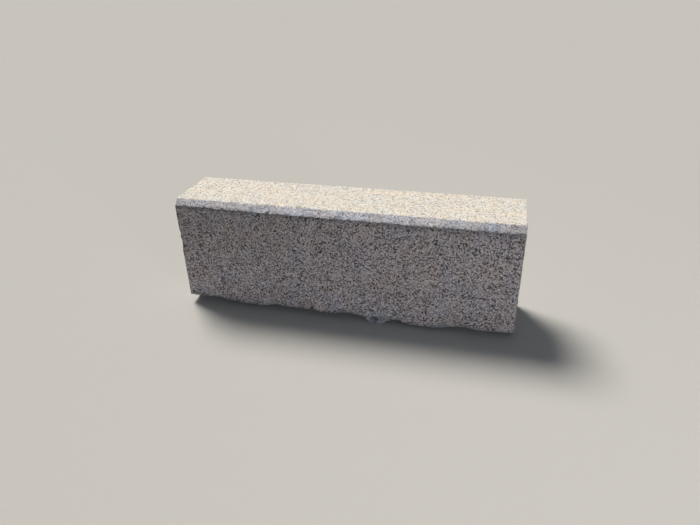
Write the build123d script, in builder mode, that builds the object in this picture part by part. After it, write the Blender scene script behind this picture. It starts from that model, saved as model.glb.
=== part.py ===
from build123d import *
from math import pi, sin
import os

# Granite kerb stone: one sawn block with a chamfered road arris and a rough-hewn bed.
# Millimetres. X runs along the kerb, the road face looks to -Y, the back to +Y and the top to +Z.
# The origin is under the middle of the stone, at the height of the bed's lowest lumps.

# Sawn block.
length = 1000
width = 200
height = 350
chamfer_in = 18
chamfer_down = 20

# Rough-hewn bed: how far the spalls reach in from each face, and how high and how far apart the
# ridges of the bed between them are.
spall_reach = 55
bed_relief = 13
ridge_spacing = 80
bed_rows = 5

# The waste under the bed runs on past the block on every side.
overshoot = 30

# Broken lower arris of the road face, from the left end: share of the length, and rise above
# the plane that the stone stands on.
broken_arris = [
    (0.000, 27),
    (0.100, 29),
    (0.120, 23),
    (0.155, 22),
    (0.195, 17),
    (0.250, 17),
    (0.290, 26),
    (0.332, 22),
    (0.400, 23),
    (0.437, 19),
    (0.470, 17),
    (0.500, 27),
    (0.518, 29),
    (0.545, 23),
    (0.570, 20),
    (0.585, 6),
    (0.600, 1),
    (0.614, 0),
    (0.627, 3),
    (0.638, 15),
    (0.660, 25),
    (0.675, 23),
    (0.692, 13),
    (0.740, 12),
    (0.798, 12),
    (0.822, 21),
    (0.855, 29),
    (0.898, 22),
    (0.945, 23),
    (1.000, 27),
]

# Lumps of the inner bed that carry the stone: row across the bed, and station along it.
seats = [(1, 5), (1, 24), (4, 5), (4, 24)]


def row_place(row):
    """Y of a row of the bed. The first and last rows lie on the faces, the others between the spalls."""
    if row == 0:
        return -width / 2
    if row == bed_rows:
        return width / 2
    return -width / 2 + spall_reach + (width - 2 * spall_reach) * (row - 1) / (bed_rows - 2)


def row_stations(row):
    """X of each station of a row, swung over from the front arris's stations to the back one's."""
    front_shares = [share for share, rise in broken_arris]
    back_shares = [1 - share for share in front_shares[::-1]]
    swing = row / bed_rows
    return [(front + (back - front) * swing - 0.5) * length for front, back in zip(front_shares, back_shares)]


def row_rises(row):
    """Rise of the bed at each station of a row. The hidden back arris is the front one end for end."""
    front_rises = [rise for share, rise in broken_arris]
    if row == 0:
        return front_rises
    if row == bed_rows:
        return front_rises[::-1]
    rises = []
    for x in row_stations(row):
        rises.append(bed_relief * abs(sin(pi * x / ridge_spacing + 1.7 * row)))
    for seat_row, seat_station in seats:
        if seat_row == row:
            rises[seat_station] = 0
    return rises


# Waste under the bed: ruled facets from row to row, carried straight on past the two faces.
with BuildPart() as bed_waste:
    sections = [(row_place(row), row) for row in range(bed_rows + 1)]
    sections.insert(0, (-width / 2 - overshoot, 0))
    sections.append((width / 2 + overshoot, bed_rows))
    for place, row in sections:
        stations = row_stations(row)
        rises = row_rises(row)
        with BuildSketch(Plane.XZ.offset(-place)):
            with BuildLine():
                Polyline(
                    (stations[0] - overshoot, -overshoot),
                    (stations[0] - overshoot, rises[0]),
                    *zip(stations, rises),
                    (stations[-1] + overshoot, rises[-1]),
                    (stations[-1] + overshoot, -overshoot),
                    close=True,
                )
            make_face()
    loft(ruled=True)

# The stone: a sawn block, its road arris chamfered and its bed hewn rough.
with BuildPart() as kerb_stone:
    with BuildSketch(Plane.YZ):
        Rectangle(width, height, align=(Align.CENTER, Align.MIN))
    extrude(amount=length / 2, both=True)
    top_face = kerb_stone.faces().sort_by(Axis.Z)[-1]
    road_arris = top_face.edges().sort_by(Axis.Y)[0]
    chamfer(road_arris, length=chamfer_in, length2=chamfer_down, reference=top_face)
    add(bed_waste.part, mode=Mode.SUBTRACT)

kerb_stone.part.label = "kerb_stone"

os.makedirs("parts", exist_ok=True)
export_step(kerb_stone.part, "parts/kerb_stone.step")
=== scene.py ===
from itertools import combinations
import math

import bmesh
import bpy
from bpy.props import FloatProperty, FloatVectorProperty, IntProperty, PointerProperty
from mathutils import Matrix, Vector, noise
from mathutils.bvhtree import BVHTree


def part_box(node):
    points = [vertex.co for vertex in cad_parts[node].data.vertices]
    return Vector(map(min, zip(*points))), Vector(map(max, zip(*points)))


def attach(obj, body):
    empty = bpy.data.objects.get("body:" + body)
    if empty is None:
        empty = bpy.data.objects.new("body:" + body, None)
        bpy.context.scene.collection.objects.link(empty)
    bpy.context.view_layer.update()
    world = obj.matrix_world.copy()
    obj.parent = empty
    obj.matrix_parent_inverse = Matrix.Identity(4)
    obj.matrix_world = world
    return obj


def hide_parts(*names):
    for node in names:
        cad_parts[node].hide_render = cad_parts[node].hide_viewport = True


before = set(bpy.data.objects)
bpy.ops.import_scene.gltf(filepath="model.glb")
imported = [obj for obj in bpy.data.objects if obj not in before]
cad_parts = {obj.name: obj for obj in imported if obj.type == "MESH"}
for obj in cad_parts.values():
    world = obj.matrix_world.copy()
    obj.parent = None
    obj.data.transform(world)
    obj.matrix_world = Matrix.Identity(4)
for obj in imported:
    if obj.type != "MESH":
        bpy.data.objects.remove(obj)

bl_info = {
    "name": "Granite Kerb Stone",
    "version": (1, 0, 0),
    "blender": (4, 5, 0),
    "location": "View3D > Sidebar > Kerb Stone",
    "description": "Dresses a sawn granite kerb stone: flamed top, chipped arrises and hewn bed",
    "category": "Object",
}

NODE = "kerb_stone"
LOW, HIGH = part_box(NODE)
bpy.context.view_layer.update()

# Places nearer to each other than this are taken as one.
TOUCH = 1e-4


def chamfer_of(node):
    """How far in and how far down the road arris is chamfered, read from the CAD solid."""
    points = [v.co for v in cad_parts[node].data.vertices]
    inwards = min(point.y for point in points if point.z > HIGH.z - TOUCH) - LOW.y
    down = HIGH.z - max(point.z for point in points if point.y < LOW.y + TOUCH)
    return inwards, down


CHAMFER_IN, CHAMFER_DOWN = chamfer_of(NODE)
CHAMFER_TOP = Vector((0, LOW.y + CHAMFER_IN, HIGH.z))
CHAMFER_FOOT = HIGH.z - CHAMFER_DOWN

# Pits in the flamed top: place and radius.
PITS = [(Vector((0.023, 0.004, HIGH.z)), 0.0055), (Vector((-0.118, -0.076, HIGH.z)), 0.006)]

# Shell-shaped scars over the bed of the road face: place along it, height of the middle, half length,
# half height, depth, depth of the rings, painted shade in the hollow and paleness of the crushed rim, which
# is in part a painted highlight. The hidden back has the same ones end for end.
SCARS = [
    (0.099, 0.014, 0.017, 0.013, 0.0060, 0.0, 0.95, 1.0),
    (0.121, 0.018, 0.016, 0.017, 0.0030, 0.0008, 0.45, 0.6),
    (0.302, 0.018, 0.028, 0.015, 0.0045, 0.0, 0.35, 0.2),
    (0.176, 0.027, 0.015, 0.010, 0.0030, 0.0, 0.3, 0.2),
    (0.036, 0.022, 0.024, 0.012, 0.0030, 0.0, 0.3, 0.2),
    (-0.212, 0.020, 0.030, 0.013, 0.0035, 0.0, 0.3, 0.2),
    (-0.405, 0.029, 0.022, 0.010, 0.0025, 0.0, 0.3, 0.2),
]

# Knocks on the arrises: place, radius, depth and the painted shade in their hollows. Five are at the
# chamfer's upper arris, four on its foot and two on the left front corner.
KNOCKS = [
    (Vector((-0.122, CHAMFER_TOP.y - 0.001, HIGH.z)), 0.0080, 0.0035, 0.8),
    (Vector((-0.320, CHAMFER_TOP.y - 0.002, HIGH.z)), 0.0060, 0.0020, 0.5),
    (Vector((-0.363, CHAMFER_TOP.y - 0.002, HIGH.z)), 0.0060, 0.0020, 0.5),
    (Vector((0.372, CHAMFER_TOP.y - 0.002, HIGH.z)), 0.0060, 0.0025, 0.7),
    (Vector((0.425, CHAMFER_TOP.y - 0.002, HIGH.z)), 0.0050, 0.0022, 0.7),
    (Vector((-0.405, LOW.y, CHAMFER_FOOT)), 0.0070, 0.0020, 0.8),
    (Vector((-0.383, LOW.y, CHAMFER_FOOT)), 0.0060, 0.0020, 0.8),
    (Vector((-0.350, LOW.y, CHAMFER_FOOT)), 0.0080, 0.0020, 0.8),
    (Vector((0.425, LOW.y, CHAMFER_FOOT)), 0.0060, 0.0025, 0.8),
    (Vector((LOW.x, LOW.y, 0.212)), 0.0160, 0.0040, 0.6),
    (Vector((LOW.x, LOW.y, 0.239)), 0.0100, 0.0030, 0.4),
]

# Finishes, in the order of the mesh's materials.
SAWN, FLAMED, CHAMFERED, SPLIT = range(4)


# Sizes and colours


class KerbStoneSizes(bpy.types.PropertyGroup):
    """Sizes of the stone's mesh and of the relief on each finish."""

    column_step: FloatProperty(
        name="Column Step", description="Spacing of the mesh along the kerb", default=0.00265, unit="LENGTH"
    )
    row_step: FloatProperty(
        name="Row Step", description="Spacing of the mesh across the top", default=0.0031, unit="LENGTH"
    )
    face_rows: IntProperty(
        name="Face Rows", description="Rows of the mesh up the sawn faces", default=40, min=8
    )
    arris_radius: FloatProperty(
        name="Arris Radius", description="Rounding of the sawn arrises", default=0.0009, unit="LENGTH"
    )
    flame_depth: FloatProperty(
        name="Flame Depth", description="Depth of the scale that the flame burst off",
        default=0.0016, unit="LENGTH"
    )
    saw_depth: FloatProperty(
        name="Saw Depth", description="Unevenness of the sawn faces", default=0.0003, unit="LENGTH"
    )
    arris_wear: FloatProperty(
        name="Arris Wear", description="Depth of the slight chips all along the arrises",
        default=0.0006, unit="LENGTH"
    )
    chip_depth: FloatProperty(
        name="Chip Depth", description="Depth of the larger chips along the arrises",
        default=0.003, unit="LENGTH"
    )
    split_depth: FloatProperty(
        name="Split Depth", description="Relief of the broken surface of the bed",
        default=0.006, unit="LENGTH"
    )
    ragged_depth: FloatProperty(
        name="Ragged Depth", description="Small nicks in the line of the bed's arrises",
        default=0.0075, unit="LENGTH"
    )
    pit_depth: FloatProperty(
        name="Pit Depth", description="Depth of the pits in the flamed top", default=0.0018, unit="LENGTH"
    )
    ring_spacing: FloatProperty(
        name="Ring Spacing", description="Distance between the rings that a blow left",
        default=0.007, unit="LENGTH"
    )
    crystal: FloatProperty(
        name="Crystal", description="Size of the granite's crystals", default=0.0021, unit="LENGTH"
    )
    fleck_spacing: FloatProperty(
        name="Fleck Spacing", description="Distance between the flecks of mica",
        default=0.0042, unit="LENGTH"
    )


class KerbStoneColours(bpy.types.PropertyGroup):
    """Colours of the granite's minerals, of what veils them and of the studio floor."""

    biotite: FloatVectorProperty(
        name="Biotite", description="Black mica", default=(0.013, 0.012, 0.014), subtype="COLOR", size=3
    )
    quartz: FloatVectorProperty(
        name="Quartz", description="Grey glassy grains",
        default=(0.155, 0.142, 0.151), subtype="COLOR", size=3
    )
    rose: FloatVectorProperty(
        name="Rose Feldspar", description="Pink grains",
        default=(0.345, 0.304, 0.313), subtype="COLOR", size=3
    )
    cream: FloatVectorProperty(
        name="Cream Feldspar", description="Pale grains",
        default=(0.425, 0.385, 0.397), subtype="COLOR", size=3
    )
    white: FloatVectorProperty(
        name="White Feldspar", description="Palest grains",
        default=(0.59, 0.547, 0.562), subtype="COLOR", size=3
    )
    # partly painted light: paler than the flamed finish alone, so that the top looks lit
    dust: FloatVectorProperty(
        name="Dust", description="Stone dust on the flamed top",
        default=(0.765, 0.742, 0.655), subtype="COLOR", size=3
    )
    bruise: FloatVectorProperty(
        name="Bruise", description="Crushed crystals on the chamfer and on the chips along the arrises",
        default=(0.67, 0.695, 0.755), subtype="COLOR", size=3
    )
    fresh: FloatVectorProperty(
        name="Fresh Break", description="Blue-grey cast of the broken bed and lumps",
        default=(0.30, 0.335, 0.375), subtype="COLOR", size=3
    )
    floor: FloatVectorProperty(
        name="Floor", description="Plain studio floor", default=(0.38, 0.377, 0.37), subtype="COLOR", size=3
    )


# Shape of the block


def chamfer_normal():
    """The chamfer's outward normal."""
    return Vector((0, -CHAMFER_DOWN, CHAMFER_IN)).normalized()


def graded(low, high, count, evenness):
    """Places from low to high, closer together towards both ends."""
    places = []
    for index in range(1, count):
        t = index / count
        t -= (1 - evenness) * math.sin(2 * math.pi * t) / (2 * math.pi)
        places.append(low + (high - low) * t)
    return places


def cut(bm, place, normal, clear=False):
    """Cuts the mesh along a plane. Clear takes away what lies outside it and closes the cut."""
    geometry = bm.verts[:] + bm.edges[:] + bm.faces[:]
    found = bmesh.ops.bisect_plane(
        bm, geom=geometry, dist=1e-6, plane_co=place, plane_no=normal, clear_outer=clear
    )
    if clear:
        rim = [e for e in found["geom_cut"] if isinstance(e, bmesh.types.BMEdge)]
        bmesh.ops.edgeloop_fill(bm, edges=rim)


def near_scar(point):
    """Whether a place on the block as sawn lies where a scar will be."""
    scars_top = 0.03
    if min(point.y - LOW.y, HIGH.y - point.y) > TOUCH or point.z > scars_top:
        return False
    along = point.x if point.y < 0 else -point.x
    return any(abs(along - x) < 1.2 * half_length for x, z, half_length, *others in SCARS)


def sawn_block(sizes):
    """The block as it leaves the saw: chamfered, its arrises barely rounded, cut into a close net."""
    bm = bmesh.new()
    bmesh.ops.create_cube(bm, size=1)
    bmesh.ops.scale(bm, vec=HIGH - LOW, verts=bm.verts)
    bmesh.ops.translate(bm, vec=(HIGH + LOW) / 2, verts=bm.verts)
    cut(bm, CHAMFER_TOP, chamfer_normal(), clear=True)
    sharp = [e for e in bm.edges if max(v.co.z for v in e.verts) > LOW.z + TOUCH]
    bmesh.ops.bevel(
        bm, geom=sharp, offset=sizes.arris_radius, segments=2, profile=0.5, affect="EDGES", material=-1
    )
    rows = graded(LOW.z, HIGH.z, sizes.face_rows, evenness=0.3)
    files = graded(LOW.y, HIGH.y, round((HIGH.y - LOW.y) / sizes.row_step), evenness=0.9)
    # a few more cuts on both sides of the chamfer's foot, for its chips
    rows += [CHAMFER_FOOT - drop for drop in (0.0055, 0.0032, 0.0015)]
    files += [LOW.y + 0.0014]
    for place in files:
        cut(bm, Vector((0, place, 0)), Vector((0, 1, 0)))
    for place in rows:
        cut(bm, Vector((0, 0, place)), Vector((0, 0, 1)))
    length = HIGH.x - LOW.x
    long_edges = [e for e in bm.edges if abs(e.verts[0].co.x - e.verts[1].co.x) > length / 2]
    columns = round(length / sizes.column_step)
    bmesh.ops.subdivide_edges(bm, edges=long_edges, cuts=columns - 1, use_grid_fill=True)
    scarred = [e for e in bm.edges if all(near_scar(v.co) for v in e.verts)]
    bmesh.ops.subdivide_edges(bm, edges=scarred, cuts=1, use_grid_fill=True)
    return bm


def bed_height(node):
    """A function that gives the height of the CAD solid's bed under any point."""
    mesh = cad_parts[node].data
    tree = BVHTree.FromPolygons([v.co for v in mesh.vertices], [p.vertices for p in mesh.polygons])
    # the rays stay clear of the solid's upright faces
    inset = 0.0002

    def height(x, y):
        x = min(max(x, LOW.x + inset), HIGH.x - inset)
        y = min(max(y, LOW.y + inset), HIGH.y - inset)
        hit = tree.ray_cast(Vector((x, y, LOW.z - 1)), Vector((0, 0, 1)))
        return hit[0].z

    return height


class Block:
    """The sawn block's planes, as distances inwards from each, and its hewn bed."""

    def __init__(self):
        self.bed = bed_height(NODE)
        self.planes = {
            "top": (Vector((0, 0, 1)), HIGH),
            "slope": (chamfer_normal(), CHAMFER_TOP),
            "road": (Vector((0, -1, 0)), LOW),
            "back": (Vector((0, 1, 0)), HIGH),
            "left": (Vector((-1, 0, 0)), LOW),
            "right": (Vector((1, 0, 0)), HIGH),
        }

    def faces(self, point, floor):
        """Distance in from each face, and its outward normal."""
        found = {name: ((place - point).dot(normal), normal) for name, (normal, place) in self.planes.items()}
        found["bed"] = (point.z - floor, Vector((0, 0, -1)))
        return found


# Relief


def held(value):
    """A value held between 0 and 1."""
    return min(1.0, max(0.0, value))


def soft(point, size):
    """Soft noise, from 0 to 1, in swells about as large as size."""
    return 0.5 + 0.5 * noise.noise(point / size)


def broken(point, size):
    """Height, from 0 to 1, of a surface broken into tilted flats about as large as size."""
    distances, centres = noise.voronoi(point / size)
    border = min((distances[1] - distances[0]) * 3, 1)
    tilt = (point / size - centres[0]).dot(noise.cell_vector(centres[0] * 91.7))
    step = noise.cell(centres[0] * 57.3) - 0.5
    return held(0.5 + (0.8 * tilt + 0.3 * step) * border)


def flamed(point):
    """Depth, from 0 to 1, of a flamed surface: shallow scales with a crystalline roughness."""
    return 0.40 * broken(point, 0.011) + 0.40 * soft(point, 0.0042) + 0.20 * soft(point, 0.035)


def split(point):
    """Depth, from 0 to 1, of a surface broken by wedges."""
    return 0.5 * broken(point, 0.034) + 0.3 * broken(point, 0.013) + 0.2 * broken(point, 0.006)


def ragged(point):
    """Rise, about 0 on average, of the nicks in the line of a hewn arris."""
    flat = Vector((point.x, point.y * 0.4, 0.31))
    average = 0.38
    return (0.5 * broken(flat, 0.013) + 0.5 * broken(flat, 0.006)) ** 2 - average


def hewn_floor(block, place, sizes):
    """Height of the bed under a place, with the nicks of its arrises."""
    floor = block.bed(place.x, place.y)
    # the lowest lumps keep their height, as the stone stands on them
    full_height = 0.015
    return floor + sizes.ragged_depth * ragged(place) * min(1.0, (floor - LOW.z) / full_height)


def chip_depth(sizes, place, arris, clear):
    """Depth of the spall at a place along an arris: slight along most of it, now and then a larger one."""
    along = Vector((place, arris, arris * 0.37))
    large = max(0.0, noise.noise(along / 0.021 + Vector((7.3, 1.9, 4.1))) - 0.33) / 0.45
    return sizes.arris_wear * (0.4 + soft(along, 0.009)) + sizes.chip_depth * large * clear


def wear(pair):
    """How much deeper the arris of two faces, named in order, is chipped than an upright one."""
    if pair == ("road", "slope"):
        return 2.2
    if pair == ("slope", "top"):
        return 1.7
    if "bed" in pair:
        return 1.1
    if "top" in pair:
        return 0.6
    return 1.0


def knocked(point):
    """Depth of the knock that a place lies in, and the painted shade in it, from 0 to 1."""
    deepest = 0.0
    shade_in_hollow = 0.0
    for place, radius, depth, hollow_shade in KNOCKS:
        share = 1 - ((point - place).length / radius) ** 2
        if share > 0:
            deepest = max(deepest, depth * share)
            shade_in_hollow = max(shade_in_hollow, hollow_shade * min(1.0, 2 * share))
    return deepest, shade_in_hollow


def spall(sizes, point, faces, knock):
    """The move that takes a point from outside the spalls of the arrises near it back to their facets."""
    # how far from an arris its facets may reach, and how far the larger chips stay clear of the corners
    reach = 0.016
    corner_clearance = 0.02
    near = sorted(faces, key=lambda name: faces[name][0])[:3]
    clear = min(1.0, faces[near[2]][0] / corner_clearance)
    deepest = 0
    move = Vector((0, 0, 0))
    for pair in combinations(sorted(near), 2):
        (a, normal_a), (b, normal_b) = faces[pair[0]], faces[pair[1]]
        total = normal_a + normal_b
        opposite = total.length < 0.1
        if opposite or a + b > reach * total.length:
            continue
        # a number of its own for each arris, so that no two are chipped alike
        arris = 3.1 * total.x + 5.3 * total.y + 7.7 * total.z
        place = point.dot(normal_a.cross(normal_b).normalized())
        depth = chip_depth(sizes, place, arris, clear) * (0.75 + 0.5 * broken(point, 0.005))
        depth = depth * wear(pair) + knock
        # each facet leans more to one of its two faces, and the chamfer's foot is the most uneven
        tilt = noise.noise(Vector((place / 0.011, arris, 5.7)))
        lean = 0.5 + 0.4 * tilt
        if pair == ("road", "slope"):
            lean = min(0.93, max(0.07, 0.5 + 1.3 * tilt))
        across = normal_a * lean + normal_b * (1 - lean)
        out = depth - (a * lean + b * (1 - lean)) / across.length
        if out > deepest:
            deepest = out
            move = -across.normalized() * out
    return move


def scar(sizes, along, height):
    """How far the scars lie back from a face at a place on it, how crushed it is there, with a painted
    highlight on the rims, and the painted shade in the hollows.
    """
    deepest = 0.0
    crushed = 0.0
    shade_in_hollow = 0.0
    for x, z, half_length, half_height, depth, rings, hollow_shade, rim in SCARS:
        uneven = 0.25 * noise.noise(Vector((along, height, x)) / 0.006)
        reach = math.hypot((along - x) / half_length, (height - z) / half_height) + uneven
        # the broken surface runs on a little past the hollow, and its rim is painted palest: crushed stone
        # with a painted highlight
        marked = min(1.0, 5 * (1.25 - reach))
        white = rim * math.exp(-(((reach - 0.95) / 0.2) ** 2))
        crushed = max(crushed, marked + 1.8 * white)
        if reach < 1:
            # the rings spread from where the blow fell, off the scar's middle
            spread = math.hypot(along - x + 0.4 * half_length, height - z - 0.3 * half_height)
            ring = 0.5 + 0.5 * math.sin(2 * math.pi * spread / sizes.ring_spacing)
            deepest = max(deepest, depth * (1 - reach**3) + rings * ring * (1 - reach))
            # the painted shade in the hollow follows the rings
            if rings:
                hollow_shade *= ring
            shade_in_hollow = max(shade_in_hollow, hollow_shade * min(1.0, 2.2 * (1 - reach)))
    return deepest, crushed, shade_in_hollow


def pit(point):
    """Depth, from 0 to 1, of the small pits that the flame left in the top."""
    return max(0.0, max(1 - ((point - place).length / radius) ** 2 for place, radius in PITS))


def shade_under_chamfer(point, under):
    """How much painted shade, from 0 to 1, darkens the road face at a distance under the chamfer, more so
    towards the left.
    """
    if under < 0:
        # teeth of painted shade, the shade of notches in the arris, reach a little way up the chamfer
        return max(0.0, 2.4 * noise.noise(Vector((point.x / 0.007, 3.1, 0.0))) - 0.3)
    wobble = soft(point, 0.022)
    share = (point.x - LOW.x) / (HIGH.x - LOW.x)
    # the line of painted shade under the chamfer is fainter and wider towards the right
    width = 0.009 + 0.012 * wobble + 0.01 * share
    line = (1.05 - 0.3 * share) * math.exp(-((under / width) ** 2))
    # painted shade reaches most of the way down the face, darkest near the chamfer and towards the left
    upper_shade = (0.62 - 0.44 * share) * max(0.0, 1 - under / 0.26) * (0.8 + 0.4 * wobble)
    return min(1.0, max(line, upper_shade))


def grime_on_slope(point):
    """How grimy, from 0 to 1, the chamfer is: a little towards its left end, more towards its right."""
    left = 0.22 * held((-0.43 - point.x) / 0.03)
    right = 0.36 * held((point.x - 0.33) / 0.06)
    return left + right


def shade_over_bed(point, height):
    """How much painted shade, from 0 to 1, darkens a sawn face at a height over its broken lower arris."""
    margin = 0.008 + 0.018 * soft(point, 0.015)
    return 0.65 * max(0.0, 1 - height / margin)


def dress(bm, sizes):
    """Drops the bed to the CAD solid's, then works the relief of each finish into the mesh."""
    # a chip this deep is bruised all over, and a place this near to a sawn face lies on it
    full_bruise = 0.001
    on_face = 0.001
    # distances from a face within which the bed's relief grows and the scars die away
    bed_margin = 0.012
    scar_reach = 0.02
    # share of the height that the scars keep to
    scarred_share = 0.2
    # how far in from the road face the painted shade under the chamfer shows, and how far up the chamfer its
    # teeth reach
    shade_reach = 0.004
    teeth_height = 0.006
    block = Block()
    bruise_and_rim_light = bm.verts.layers.float.new("bruise_and_rim_light")
    painted_shade_and_grime = bm.verts.layers.float.new("painted_shade_and_grime")
    bm.normal_update()
    normals = {v: v.normal.copy() for v in bm.verts}
    for v in bm.verts:
        rise = (v.co.z - LOW.z) / (HIGH.z - LOW.z)
        floor = hewn_floor(block, v.co, sizes)
        point = Vector((v.co.x, v.co.y, floor + (HIGH.z - floor) * rise))
        faces = block.faces(point, floor)
        side = min(faces[name][0] for name in ("road", "back", "left", "right"))
        knock, knock_shade = knocked(point)
        move = spall(sizes, point, faces, knock)
        bruise = min(1.0, move.length / full_bruise)
        shade_and_grime = 0.0
        if rise < TOUCH:
            depth = min(sizes.split_depth * split(point) * min(1.0, side / bed_margin), floor - LOW.z)
            move.z = max(move.z, depth)
            bruise = 1.0
        elif min(faces["top"][0], faces["slope"][0]) < TOUCH + sizes.arris_radius:
            hollow = pit(point)
            move -= normals[v] * (sizes.flame_depth * flamed(point) + sizes.pit_depth * hollow)
            on_slope = faces["slope"][0] < faces["top"][0]
            # the pits in the top get painted shade, and the chamfer gets grime towards its ends
            shade_and_grime = grime_on_slope(point) if on_slope else 0.6 * hollow
        else:
            move -= normals[v] * sizes.saw_depth * soft(point, 0.02)
        # painted shade gathers over the broken lower arris
        if side < on_face:
            shade_and_grime = max(shade_and_grime, shade_over_bed(point, point.z - floor))
        for name, way in (("road", 1), ("back", -1)):
            distance, normal = faces[name]
            if distance < scar_reach and rise < scarred_share:
                recess, crushed, shade_in_hollow = scar(sizes, way * point.x, point.z)
                move -= normal * recess * (1 - distance / scar_reach)
                bruise = max(bruise, crushed)
                # fresh crushed stone, with the painted highlight on the scars' rims, takes less of the grime
                # and painted shade around it, and the hollows take their own painted shade
                shade_and_grime = max(shade_and_grime * (1 - 0.6 * min(1.0, crushed)), shade_in_hollow)
        # painted shade on the road face under the chamfer, and its teeth on the chamfer
        under = CHAMFER_FOOT - point.z
        if faces["road"][0] < shade_reach and under > -teeth_height:
            shade_and_grime = max(shade_and_grime, shade_under_chamfer(point, under + sizes.arris_radius))
        v[bruise_and_rim_light] = bruise
        # the knocks hold painted shade
        v[painted_shade_and_grime] = max(shade_and_grime, knock_shade)
        v.co = point + move
    return bm


def keep_inside(bm):
    """Holds every vertex inside the CAD solid's box."""
    for v in bm.verts:
        v.co = Vector(max(low, min(high, c)) for c, low, high in zip(v.co, LOW, HIGH))


def mark_finishes(bm):
    """Gives each face its finish, by where it lies and which way it looks."""
    bruise_and_rim_light = bm.verts.layers.float["bruise_and_rim_light"]
    past_arris = 0.0005
    top_relief = 0.005
    mostly = 0.6
    bm.normal_update()
    for face in bm.faces:
        middle = face.calc_center_median()
        up = face.normal.z
        over_chamfer = middle.y < CHAMFER_TOP.y + past_arris and middle.z > CHAMFER_FOOT - past_arris
        if up < -0.3 and middle.z < HIGH.z / 2:
            face.material_index = SPLIT
        elif up > 0.2 and over_chamfer:
            face.material_index = CHAMFERED
        elif up > 0.3 and middle.z > HIGH.z - top_relief:
            face.material_index = FLAMED
        elif middle.z < HIGH.z / 4 and min(v[bruise_and_rim_light] for v in face.verts) > mostly:
            face.material_index = SPLIT
        else:
            face.material_index = SAWN
        face.smooth = True


# Materials

# Span that the noise textures' values mostly keep to.
NOISE_SPAN = {"From Min": 0.3, "From Max": 0.7}


class Finish:
    """One finish of the granite.

    veil: colour of the dust or crushed crystals on it, and of its chips
    crystals, mica: how far the veil covers the pale crystals and the mica, from 0 to 1
    mottle: how uneven the veil is
    swing, tint: strength of the broad patches in shade and in colour
    bump: depth of the crystals' relief
    """

    def __init__(self, name, veil, crystals, mica, mottle, swing, tint, roughness, bump):
        self.name = name
        self.veil = veil
        self.crystals = crystals
        self.mica = mica
        self.mottle = mottle
        self.swing = swing
        self.tint = tint
        self.roughness = roughness
        self.bump = bump


def granite_finishes(colours):
    """The finishes of the stone: sawn, flamed on the top, chamfered, and split on the bed."""
    return [
        Finish(
            "sawn granite", colours.bruise, crystals=0.0, mica=0.0, mottle=0.0,
            swing=0.32, tint=0.8, roughness=0.6, bump=0.0002
        ),
        # the flamed top's pale dust is partly painted light: it keeps the top paler than the sawn faces by
        # more than the two finishes differ, as if the top were lit and the faces shaded
        Finish(
            "flamed granite", colours.dust, crystals=0.64, mica=0.32, mottle=0.3,
            swing=0.12, tint=0.75, roughness=0.85, bump=0.0009
        ),
        Finish(
            "chamfered granite", colours.bruise, crystals=0.49, mica=0.36, mottle=0.8,
            swing=0.6, tint=0.95, roughness=0.85, bump=0.0006
        ),
        Finish(
            "split granite", colours.fresh, crystals=0.18, mica=0.08, mottle=0.5,
            swing=0.4, tint=0.8, roughness=0.8, bump=0.0007
        ),
    ]


def add_node(tree, kind, place, inputs=(), **settings):
    """A shader node at a place on the sheet, with its settings, and with inputs linked or given a value."""
    node = tree.nodes.new(kind)
    node.location = place
    for name, setting in settings.items():
        setattr(node, name, setting)
    for name, given in dict(inputs).items():
        if isinstance(given, bpy.types.NodeSocket):
            tree.links.new(given, node.inputs[name])
        else:
            node.inputs[name].default_value = given
    return node


def new_group(name, inputs, outputs):
    """A node group whose sockets are given by name and kind, and the outputs of its input node."""
    tree = bpy.data.node_groups.new(name, "ShaderNodeTree")
    for way, sockets in (("INPUT", inputs), ("OUTPUT", outputs)):
        for socket, kind in sockets.items():
            tree.interface.new_socket(socket, in_out=way, socket_type="NodeSocket" + kind)
    return tree, add_node(tree, "NodeGroupInput", (-1400, 0)).outputs


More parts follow.
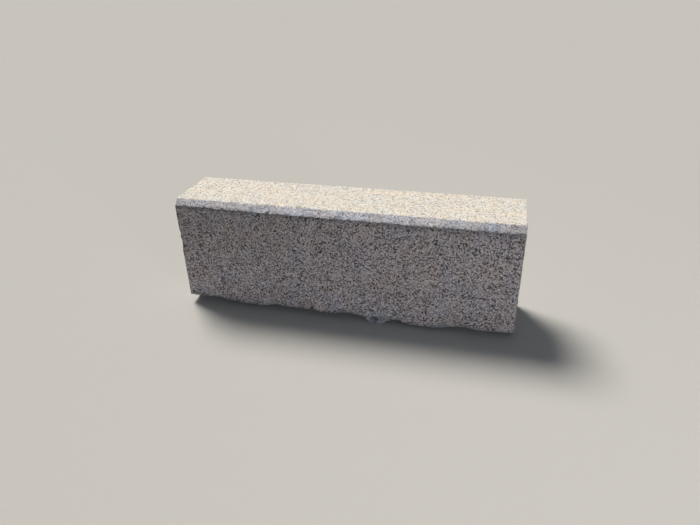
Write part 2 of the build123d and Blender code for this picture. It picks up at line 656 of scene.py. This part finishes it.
def grain_group(colours):
    """Node group: the crystals of the granite, solid through the stone."""
    tree, given = new_group(
        "granite grain",
        {"Vector": "Vector", "Crystals per Metre": "Float", "Flecks per Metre": "Float"},
        {"Color": "Color", "Mica": "Float", "Height": "Float"},
    )
    place = given["Vector"]
    per_metre = given["Crystals per Metre"]

    # uneven borders between the crystals, which sway by up to about half of this many crystals
    sway_span = 1.2
    ripple = add_node(
        tree, "ShaderNodeTexNoise", (-1200, -200), {"Vector": place, "Scale": per_metre, "Detail": 2}
    )
    centred = add_node(
        tree, "ShaderNodeVectorMath", (-1000, -200),
        {0: ripple.outputs["Color"], 1: (0.5, 0.5, 0.5)}, operation="SUBTRACT"
    )
    reach = add_node(tree, "ShaderNodeMath", (-1000, -400), {0: sway_span, 1: per_metre}, operation="DIVIDE")
    sway = add_node(
        tree, "ShaderNodeVectorMath", (-800, -200),
        {0: centred.outputs[0], "Scale": reach.outputs[0]}, operation="SCALE"
    )
    bent = add_node(tree, "ShaderNodeVectorMath", (-600, 0), {0: place, 1: sway.outputs[0]}, operation="ADD")

    # one mineral to each crystal
    crystals = add_node(
        tree, "ShaderNodeTexVoronoi", (-400, 100), {"Vector": bent.outputs[0], "Scale": per_metre}
    )
    lot = add_node(tree, "ShaderNodeSeparateColor", (-200, 100), {0: crystals.outputs["Color"]})
    minerals = add_node(tree, "ShaderNodeValToRGB", (0, 200), {"Fac": lot.outputs["Red"]})
    ramp = minerals.color_ramp
    ramp.interpolation = "CONSTANT"
    shares = [(0.00, colours.quartz), (0.30, colours.rose), (0.52, colours.cream), (0.84, colours.white)]
    while len(ramp.elements) < len(shares):
        ramp.elements.new(0.5)
    for element, (start, colour) in zip(ramp.elements, shares):
        element.position = start
        element.color = (*colour, 1)

    # each crystal a little lighter or darker than the next
    shade = add_node(
        tree, "ShaderNodeMapRange", (0, -100), {"Value": lot.outputs["Green"], "To Min": 0.80, "To Max": 1.20}
    )
    shaded = add_node(
        tree, "ShaderNodeVectorMath", (300, 200),
        {0: minerals.outputs["Color"], "Scale": shade.outputs["Result"]}, operation="SCALE"
    )

    # black mica in flecks, spread more evenly than the crystals
    flecks = add_node(
        tree, "ShaderNodeTexVoronoi", (-400, -300),
        {"Vector": bent.outputs[0], "Scale": given["Flecks per Metre"], "Randomness": 0.85}
    )
    fleck_lot = add_node(tree, "ShaderNodeSeparateColor", (-200, -400), {0: flecks.outputs["Color"]})
    fleck_size = add_node(
        tree, "ShaderNodeMapRange", (0, -400),
        {"Value": fleck_lot.outputs["Red"], "To Min": -0.55, "To Max": 0.13}
    )
    # the ripple, 0.5 on average, makes their outlines uneven
    outline = add_node(
        tree, "ShaderNodeMath", (100, -500),
        {0: ripple.outputs["Fac"], 1: fleck_size.outputs["Result"]}, operation="ADD"
    )
    fleck = add_node(
        tree, "ShaderNodeMath", (300, -300),
        {0: flecks.outputs["Distance"], 1: outline.outputs[0]}, operation="LESS_THAN"
    )
    flecked = add_node(
        tree, "ShaderNodeMix", (500, 200),
        {"Factor": fleck.outputs[0], "A": shaded.outputs[0], "B": (*colours.biotite, 1)}, data_type="RGBA"
    )
    add_node(
        tree, "NodeGroupOutput", (900, 0),
        {"Color": flecked.outputs["Result"], "Mica": fleck.outputs[0], "Height": lot.outputs["Green"]}
    )
    return tree


def patch_group():
    """Node group: broad soft patches, paler or darker by Swing, and warmer or cooler by Tint."""
    tree, given = new_group(
        "granite patches",
        {"Vector": "Vector", "Color": "Color", "Swing": "Float", "Tint": "Float"},
        {"Color": "Color"},
    )
    patches_per_metre = 22
    cool = (0.945, 0.985, 1.065, 1)
    warm = (1.065, 0.99, 0.935, 1)
    cloud = add_node(
        tree, "ShaderNodeTexNoise", (-1000, -200),
        {"Vector": given["Vector"], "Scale": patches_per_metre, "Detail": 2}
    )
    lots = add_node(tree, "ShaderNodeSeparateColor", (-800, -200), {0: cloud.outputs["Color"]})

    warmth = add_node(
        tree, "ShaderNodeMapRange", (-600, -300), {"Value": lots.outputs["Green"], **NOISE_SPAN}
    )
    cast = add_node(
        tree, "ShaderNodeMix", (-400, -300),
        {"Factor": warmth.outputs["Result"], "A": cool, "B": warm}, data_type="RGBA"
    )
    toned = add_node(
        tree, "ShaderNodeMix", (-200, -300),
        {"Factor": given["Tint"], "A": (1, 1, 1, 1), "B": cast.outputs["Result"]}, data_type="RGBA"
    )
    tinted = add_node(
        tree, "ShaderNodeVectorMath", (0, 0),
        {0: given["Color"], 1: toned.outputs["Result"]}, operation="MULTIPLY"
    )

    depth = add_node(
        tree, "ShaderNodeMath", (-600, 0), {0: lots.outputs["Blue"], 1: 0.5}, operation="SUBTRACT"
    )
    shade = add_node(
        tree, "ShaderNodeMath", (-400, 0),
        {0: depth.outputs[0], 1: given["Swing"], 2: 1.0}, operation="MULTIPLY_ADD"
    )
    shaded = add_node(
        tree, "ShaderNodeVectorMath", (200, 0),
        {0: tinted.outputs[0], "Scale": shade.outputs[0]}, operation="SCALE"
    )
    add_node(tree, "NodeGroupOutput", (600, 0), {"Color": shaded.outputs[0]})
    return tree


def granite_material(finish, grain_tree, patch_tree, sizes):
    """The granite with one of its finishes."""
    material = bpy.data.materials.new(finish.name)
    material.use_nodes = True
    tree = material.node_tree
    place = add_node(tree, "ShaderNodeTexCoord", (-1600, 0)).outputs["Object"]
    grain = add_node(
        tree, "ShaderNodeGroup", (-1200, 100),
        {
            "Vector": place, "Crystals per Metre": 1 / sizes.crystal,
            "Flecks per Metre": 1 / sizes.fleck_spacing,
        },
        node_tree=grain_tree
    )

    # dust or crushed crystals, in mottles, veil the pale minerals more than the mica
    mottles_per_metre = 260
    thickness = add_node(
        tree, "ShaderNodeMapRange", (-900, -100),
        {"Value": grain.outputs["Mica"], "To Min": finish.crystals, "To Max": finish.mica}
    )
    mottle = add_node(
        tree, "ShaderNodeTexNoise", (-1200, -200), {"Vector": place, "Scale": mottles_per_metre, "Detail": 1}
    )
    swing = add_node(
        tree, "ShaderNodeMapRange", (-1000, -200),
        {
            "Value": mottle.outputs["Fac"], **NOISE_SPAN,
            "To Min": 1 - finish.mottle, "To Max": 1 + finish.mottle,
        }
    )
    cover = add_node(
        tree, "ShaderNodeMath", (-750, -100),
        {0: thickness.outputs["Result"], 1: swing.outputs["Result"]}, operation="MULTIPLY", use_clamp=True
    )
    veiled = add_node(
        tree, "ShaderNodeMix", (-600, 100),
        {"Factor": cover.outputs[0], "A": grain.outputs["Color"], "B": (*finish.veil, 1)}, data_type="RGBA"
    )

    # chips and broken lumps take on a share of the veil's colour, and the scars' rims take it as a painted
    # highlight
    chips_share = 0.22
    bruise_and_rim_light = add_node(tree, "ShaderNodeAttribute", (-900, -300), attribute_name="bruise_and_rim_light")
    bruise = add_node(
        tree, "ShaderNodeMath", (-600, -300),
        {0: bruise_and_rim_light.outputs["Fac"], 1: chips_share}, operation="MULTIPLY"
    )
    edged = add_node(
        tree, "ShaderNodeMix", (-300, 100),
        {"Factor": bruise.outputs[0], "A": veiled.outputs["Result"], "B": (*finish.veil, 1)}, data_type="RGBA"
    )

    # painted shade darkens the road face under the chamfer, the pits, scars and knocks, and the faces over
    # the broken bed; grime darkens the chamfer's ends
    painted_shade_and_grime = add_node(tree, "ShaderNodeAttribute", (-900, -500), attribute_name="painted_shade_and_grime")
    darkest = 0.42
    darkening = add_node(
        tree, "ShaderNodeMapRange", (-600, -500),
        {"Value": painted_shade_and_grime.outputs["Fac"], "To Min": 1.0, "To Max": darkest}
    )
    darkened = add_node(
        tree, "ShaderNodeVectorMath", (-100, 100),
        {0: edged.outputs["Result"], "Scale": darkening.outputs["Result"]}, operation="SCALE"
    )
    patches = add_node(
        tree, "ShaderNodeGroup", (100, 100),
        {"Vector": place, "Color": darkened.outputs[0], "Swing": finish.swing, "Tint": finish.tint},
        node_tree=patch_tree
    )

    # relief of the crystals
    pebble = add_node(
        tree, "ShaderNodeBump", (-300, -400), {"Height": grain.outputs["Height"], "Distance": finish.bump}
    )
    shader = tree.nodes["Principled BSDF"]
    shader.inputs["Roughness"].default_value = finish.roughness
    shader.inputs["Specular IOR Level"].default_value = 0.3
    tree.links.new(patches.outputs["Color"], shader.inputs["Base Color"])
    tree.links.new(pebble.outputs["Normal"], shader.inputs["Normal"])
    return material


# Stage


def lay_floor(colour):
    """A plain floor, far larger than the view."""
    bm = bmesh.new()
    bmesh.ops.create_grid(bm, x_segments=1, y_segments=1, size=40)
    mesh = bpy.data.meshes.new("floor")
    bm.to_mesh(mesh)
    bm.free()
    material = bpy.data.materials.new("plain floor")
    material.use_nodes = True
    shader = material.node_tree.nodes["Principled BSDF"]
    shader.inputs["Base Color"].default_value = (*colour, 1)
    # no sheen, so that it is equally pale from every side
    shader.inputs["Specular IOR Level"].default_value = 0
    mesh.materials.append(material)
    floor = bpy.data.objects.new("floor", mesh)
    bpy.context.scene.collection.objects.link(floor)


def soft_world(colour, strength, backdrop):
    """Light from all round, which the camera itself sees in the colour of the lit floor."""
    world = bpy.data.worlds.new("studio")
    world.use_nodes = True
    tree = world.node_tree
    sky = tree.nodes["Background"]
    sky.inputs["Color"].default_value = (*colour, 1)
    sky.inputs["Strength"].default_value = strength
    paper = add_node(tree, "ShaderNodeBackground", (0, -200), {"Color": (*backdrop, 1)})
    seen = add_node(tree, "ShaderNodeLightPath", (0, 400))
    choice = add_node(
        tree, "ShaderNodeMixShader", (200, 100),
        {0: seen.outputs["Is Camera Ray"], 1: sky.outputs[0], 2: paper.outputs[0]}
    )
    tree.links.new(choice.outputs[0], tree.nodes["World Output"].inputs["Surface"])
    return world


def hang_light(data, place, towards):
    """Places a light that shines from a direction."""
    light = bpy.data.objects.new(data.name, data)
    light.location = place
    light.rotation_euler = towards.to_track_quat("Z", "Y").to_euler()
    bpy.context.scene.collection.objects.link(light)


def soft_sun(name, towards, spread, strength, colour):
    """A distant light with soft shadows, shining from a direction, spread over degrees of the sky."""
    data = bpy.data.lights.new(name, "SUN")
    data.energy = strength
    data.angle = math.radians(spread)
    data.color = colour
    hang_light(data, towards * 3, towards)


def soft_panel(name, place, target, size, spread, power, colour):
    """A square soft light that faces a target, its light spread over degrees."""
    data = bpy.data.lights.new(name, "AREA")
    data.size = size
    data.spread = math.radians(spread)
    data.energy = power
    data.color = colour
    hang_light(data, place, place - target)


def viewpoint(place, heading, dip, roll):
    """Matrix of a camera that looks along +Y turned by heading, down by dip, and leans by roll."""
    ahead = Vector((math.sin(heading) * math.cos(dip), math.cos(heading) * math.cos(dip), -math.sin(dip)))
    right = Vector((math.cos(heading), -math.sin(heading), 0))
    up = right.cross(ahead)
    leant_right = right * math.cos(roll) + up * math.sin(roll)
    leant_up = up * math.cos(roll) - right * math.sin(roll)
    turn = Matrix((leant_right, leant_up, -ahead)).transposed()
    return Matrix.Translation(place) @ turn.to_4x4()


def add_camera(name, place, lens, heading, dip, roll):
    """A camera at a place, with its lens in millimetres and its angles in degrees."""
    data = bpy.data.cameras.new(name)
    data.lens = lens
    data.sensor_width = 36
    data.clip_end = 200
    camera = bpy.data.objects.new(name, data)
    bpy.context.scene.collection.objects.link(camera)
    camera.matrix_world = viewpoint(place, math.radians(heading), math.radians(dip), math.radians(roll))
    return camera


# Operators


class KERB_OT_dress_stone(bpy.types.Operator):
    """Model and finish the kerb stone over its CAD solid"""

    bl_idname = "kerb.dress_stone"
    bl_label = "Dress Stone"

    def execute(self, context):
        sizes = context.scene.kerb_stone_sizes
        colours = context.scene.kerb_stone_colours
        bm = dress(sawn_block(sizes), sizes)
        keep_inside(bm)
        mark_finishes(bm)
        mesh = bpy.data.meshes.new("kerb_stone_dressed")
        grain_tree = grain_group(colours)
        patch_tree = patch_group()
        for finish in granite_finishes(colours):
            mesh.materials.append(granite_material(finish, grain_tree, patch_tree, sizes))
        bm.to_mesh(mesh)
        bm.free()
        stone = bpy.data.objects.new("kerb_stone_dressed", mesh)
        context.scene.collection.objects.link(stone)
        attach(stone, "root")
        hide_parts(NODE)
        return {"FINISHED"}


class KERB_OT_set_stage(bpy.types.Operator):
    """Lay the floor, hang the lights and place the camera"""

    bl_idname = "kerb.set_stage"
    bl_label = "Set Stage"

    def execute(self, context):
        scene = context.scene
        lay_floor(scene.kerb_stone_colours.floor)
        scene.world = soft_world(colour=(0.86, 0.93, 1.0), strength=0.185, backdrop=(0.574, 0.546, 0.503))
        soft_sun(
            "key", towards=Vector((-0.448, 0.357, 0.82)), spread=24, strength=5.2, colour=(1.0, 0.945, 0.86)
        )
        soft_panel(
            "fill", place=Vector((3.8, -3.6, 0.9)), target=Vector((0.2, -0.1, 0.1)),
            size=1.0, spread=36, power=4.3, colour=(0.91, 0.96, 1.0)
        )
        scene.camera = add_camera(
            "photograph", place=Vector((0.404, -1.473, 0.9642)), lens=29.2,
            heading=-15.2, dip=28.27, roll=-1.58
        )
        scene.view_settings.view_transform = "Standard"
        return {"FINISHED"}


class KERB_PT_sidebar(bpy.types.Panel):
    """Lists the steps that make the kerb stone"""

    bl_label = "Kerb Stone"
    bl_space_type = "VIEW_3D"
    bl_region_type = "UI"
    bl_category = "Kerb Stone"

    def draw(self, context):
        column = self.layout.column()
        column.operator("kerb.dress_stone")
        column.operator("kerb.set_stage")


CLASSES = (KerbStoneSizes, KerbStoneColours, KERB_OT_dress_stone, KERB_OT_set_stage, KERB_PT_sidebar)


def register():
    for kind in CLASSES:
        bpy.utils.register_class(kind)
    bpy.types.Scene.kerb_stone_sizes = PointerProperty(type=KerbStoneSizes)
    bpy.types.Scene.kerb_stone_colours = PointerProperty(type=KerbStoneColours)


def unregister():
    del bpy.types.Scene.kerb_stone_colours
    del bpy.types.Scene.kerb_stone_sizes
    for kind in reversed(CLASSES):
        bpy.utils.unregister_class(kind)


def main():
    register()
    bpy.ops.kerb.dress_stone()
    bpy.ops.kerb.set_stage()


if __name__ == "__main__":
    main()
